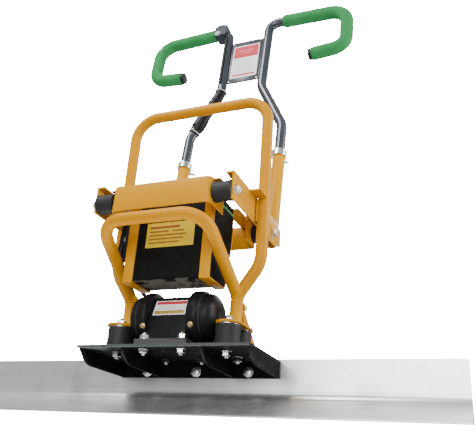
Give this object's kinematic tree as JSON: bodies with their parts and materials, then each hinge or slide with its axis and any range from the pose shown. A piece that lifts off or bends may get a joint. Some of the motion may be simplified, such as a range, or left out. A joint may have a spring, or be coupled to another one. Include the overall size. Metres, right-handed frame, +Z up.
{
  "type": "battery power screed",
  "caption": "Walk-behind power screed: aluminium blade, eccentric vibration motor on a rubber mounted base, tube frame with battery cradle and a height-adjustable hooked handle.",
  "frame": {"origin": "on the blade's sole, below the front face of the blade's wall, at the middle of its length", "axes": "+X along the blade to the right, +Y towards the operator's handle, +Z up from the sole"},
  "size_m": [1.09, 0.4537, 1.1828],
  "materials": {
    "yellow_paint": "amber powder coat, semi-gloss",
    "black_paint": "black powder coat, satin",
    "extrusion": "drawn aluminium with light scuffs",
    "zinc_steel": "bright zinc plated",
    "mount_rubber": "moulded black rubber",
    "black_plastic": "moulded black plastic",
    "green_foam": "soft closed cell foam",
    "green_seal": "light green moulded seal",
    "grey_plastic": "moulded grey plastic",
    "winding": "laminated core with copper windings",
    "weight_iron": "sawn iron"
  },
  "bodies": {
    "base": {"blade": "extrusion", "base_plate": "black_paint", "flange_bolt_left": "zinc_steel", "flange_bolt_middle": "zinc_steel", "flange_bolt_right": "zinc_steel", "isolator_front_left": "mount_rubber", "isolator_front_right": "mount_rubber", "isolator_rear_left": "mount_rubber", "isolator_rear_right": "mount_rubber", "motor_housing": "black_paint", "motor_stator": "winding", "motor_shield_left": "black_paint", "motor_shield_right": "black_paint", "motor_cover_left": "black_paint", "motor_cover_right": "black_paint", "motor_bearing_left": "zinc_steel", "motor_bearing_right": "zinc_steel"},
    "rotor": {"motor_shaft": "zinc_steel", "motor_weight_left": "weight_iron", "motor_weight_right": "weight_iron"},
    "frame": {"foot_plate_left": "yellow_paint", "foot_plate_right": "yellow_paint", "isolator_nut_front_left": "zinc_steel", "isolator_nut_front_right": "zinc_steel", "isolator_nut_rear_left": "zinc_steel", "isolator_nut_rear_right": "zinc_steel", "rear_hoop": "yellow_paint", "front_hoop": "yellow_paint", "side_plate_left": "yellow_paint", "side_plate_right": "yellow_paint", "bush_front_left": "mount_rubber", "bush_front_right": "mount_rubber", "bush_rear_left": "mount_rubber", "bush_rear_right": "mount_rubber", "socket_left": "yellow_paint", "socket_right": "yellow_paint", "collar_left": "zinc_steel", "collar_right": "zinc_steel", "cradle_front": "yellow_paint", "cradle_rear": "yellow_paint", "stirrup_left": "yellow_paint", "stirrup_right": "yellow_paint"},
    "stand": {"park_stand": "yellow_paint"},
    "battery": {"battery_box": "black_plastic", "battery_pack": "grey_plastic", "battery_seal": "green_seal", "battery_socket": "black_plastic", "battery_lid": "black_plastic", "battery_handle": "black_plastic"},
    "handle": {"handle_tube_left": "black_paint", "handle_tube_right": "black_paint", "grip_left": "green_foam", "grip_right": "green_foam", "handle_plate": "black_paint", "switch_block": "black_plastic", "control_cable": "black_plastic"},
    "wing_left": {"wing_bolt_left": "zinc_steel"},
    "wing_right": {"wing_bolt_right": "zinc_steel"},
    "button": {"start_button": "grey_plastic"},
    "knob": {"speed_knob": "black_plastic"}
  },
  "joints": [
    {"name": "rotor_spin", "type": "hinge", "parent": "base", "child": "rotor", "pos_m": [-0.004, -0.11, 0.19], "axis": [1, 0, 0], "continuous": true},
    {"name": "frame_on_isolators", "type": "slide", "parent": "base", "child": "frame", "axis": [0, 0, 1], "range_m": [-0.0015, 0.0015], "stiffness_N_per_m": 200000, "deforming": ["isolator_front_left", "isolator_front_right", "isolator_rear_left", "isolator_rear_right"]},
    {"name": "handle_height", "type": "slide", "parent": "frame", "child": "handle", "axis": [0, 0.1338, 0.991], "range_m": [-0.06, 0.1]},
    {"name": "stand_fold", "type": "hinge", "parent": "frame", "child": "stand", "pos_m": [0, -0.08, 0.2165], "axis": [1, 0, 0], "range_deg": [0, 70]},
    {"name": "battery_lift", "type": "slide", "parent": "frame", "child": "battery", "axis": [0, 0, 1], "range_m": [0, 0.2]},
    {"name": "wing_left_turn", "type": "hinge", "parent": "frame", "child": "wing_left", "pos_m": [-0.1335, 0.08339, 0.6595], "axis": [0, 0.991, -0.1338], "range_deg": [0, 180]},
    {"name": "wing_right_turn", "type": "hinge", "parent": "frame", "child": "wing_right", "pos_m": [0.1335, 0.08339, 0.6595], "axis": [0, 0.991, -0.1338], "range_deg": [0, 180]},
    {"name": "start_button_press", "type": "slide", "parent": "handle", "child": "button", "axis": [0, 0.991, -0.1338], "range_m": [0, 0.003], "stiffness_N_per_m": 600, "springref_m": -0.003},
    {"name": "speed_knob_turn", "type": "hinge", "parent": "handle", "child": "knob", "pos_m": [-0.0865, 0.1485, 1.17164], "axis": [0, 0.1338, 0.991], "range_deg": [-135, 135]}
  ]
}
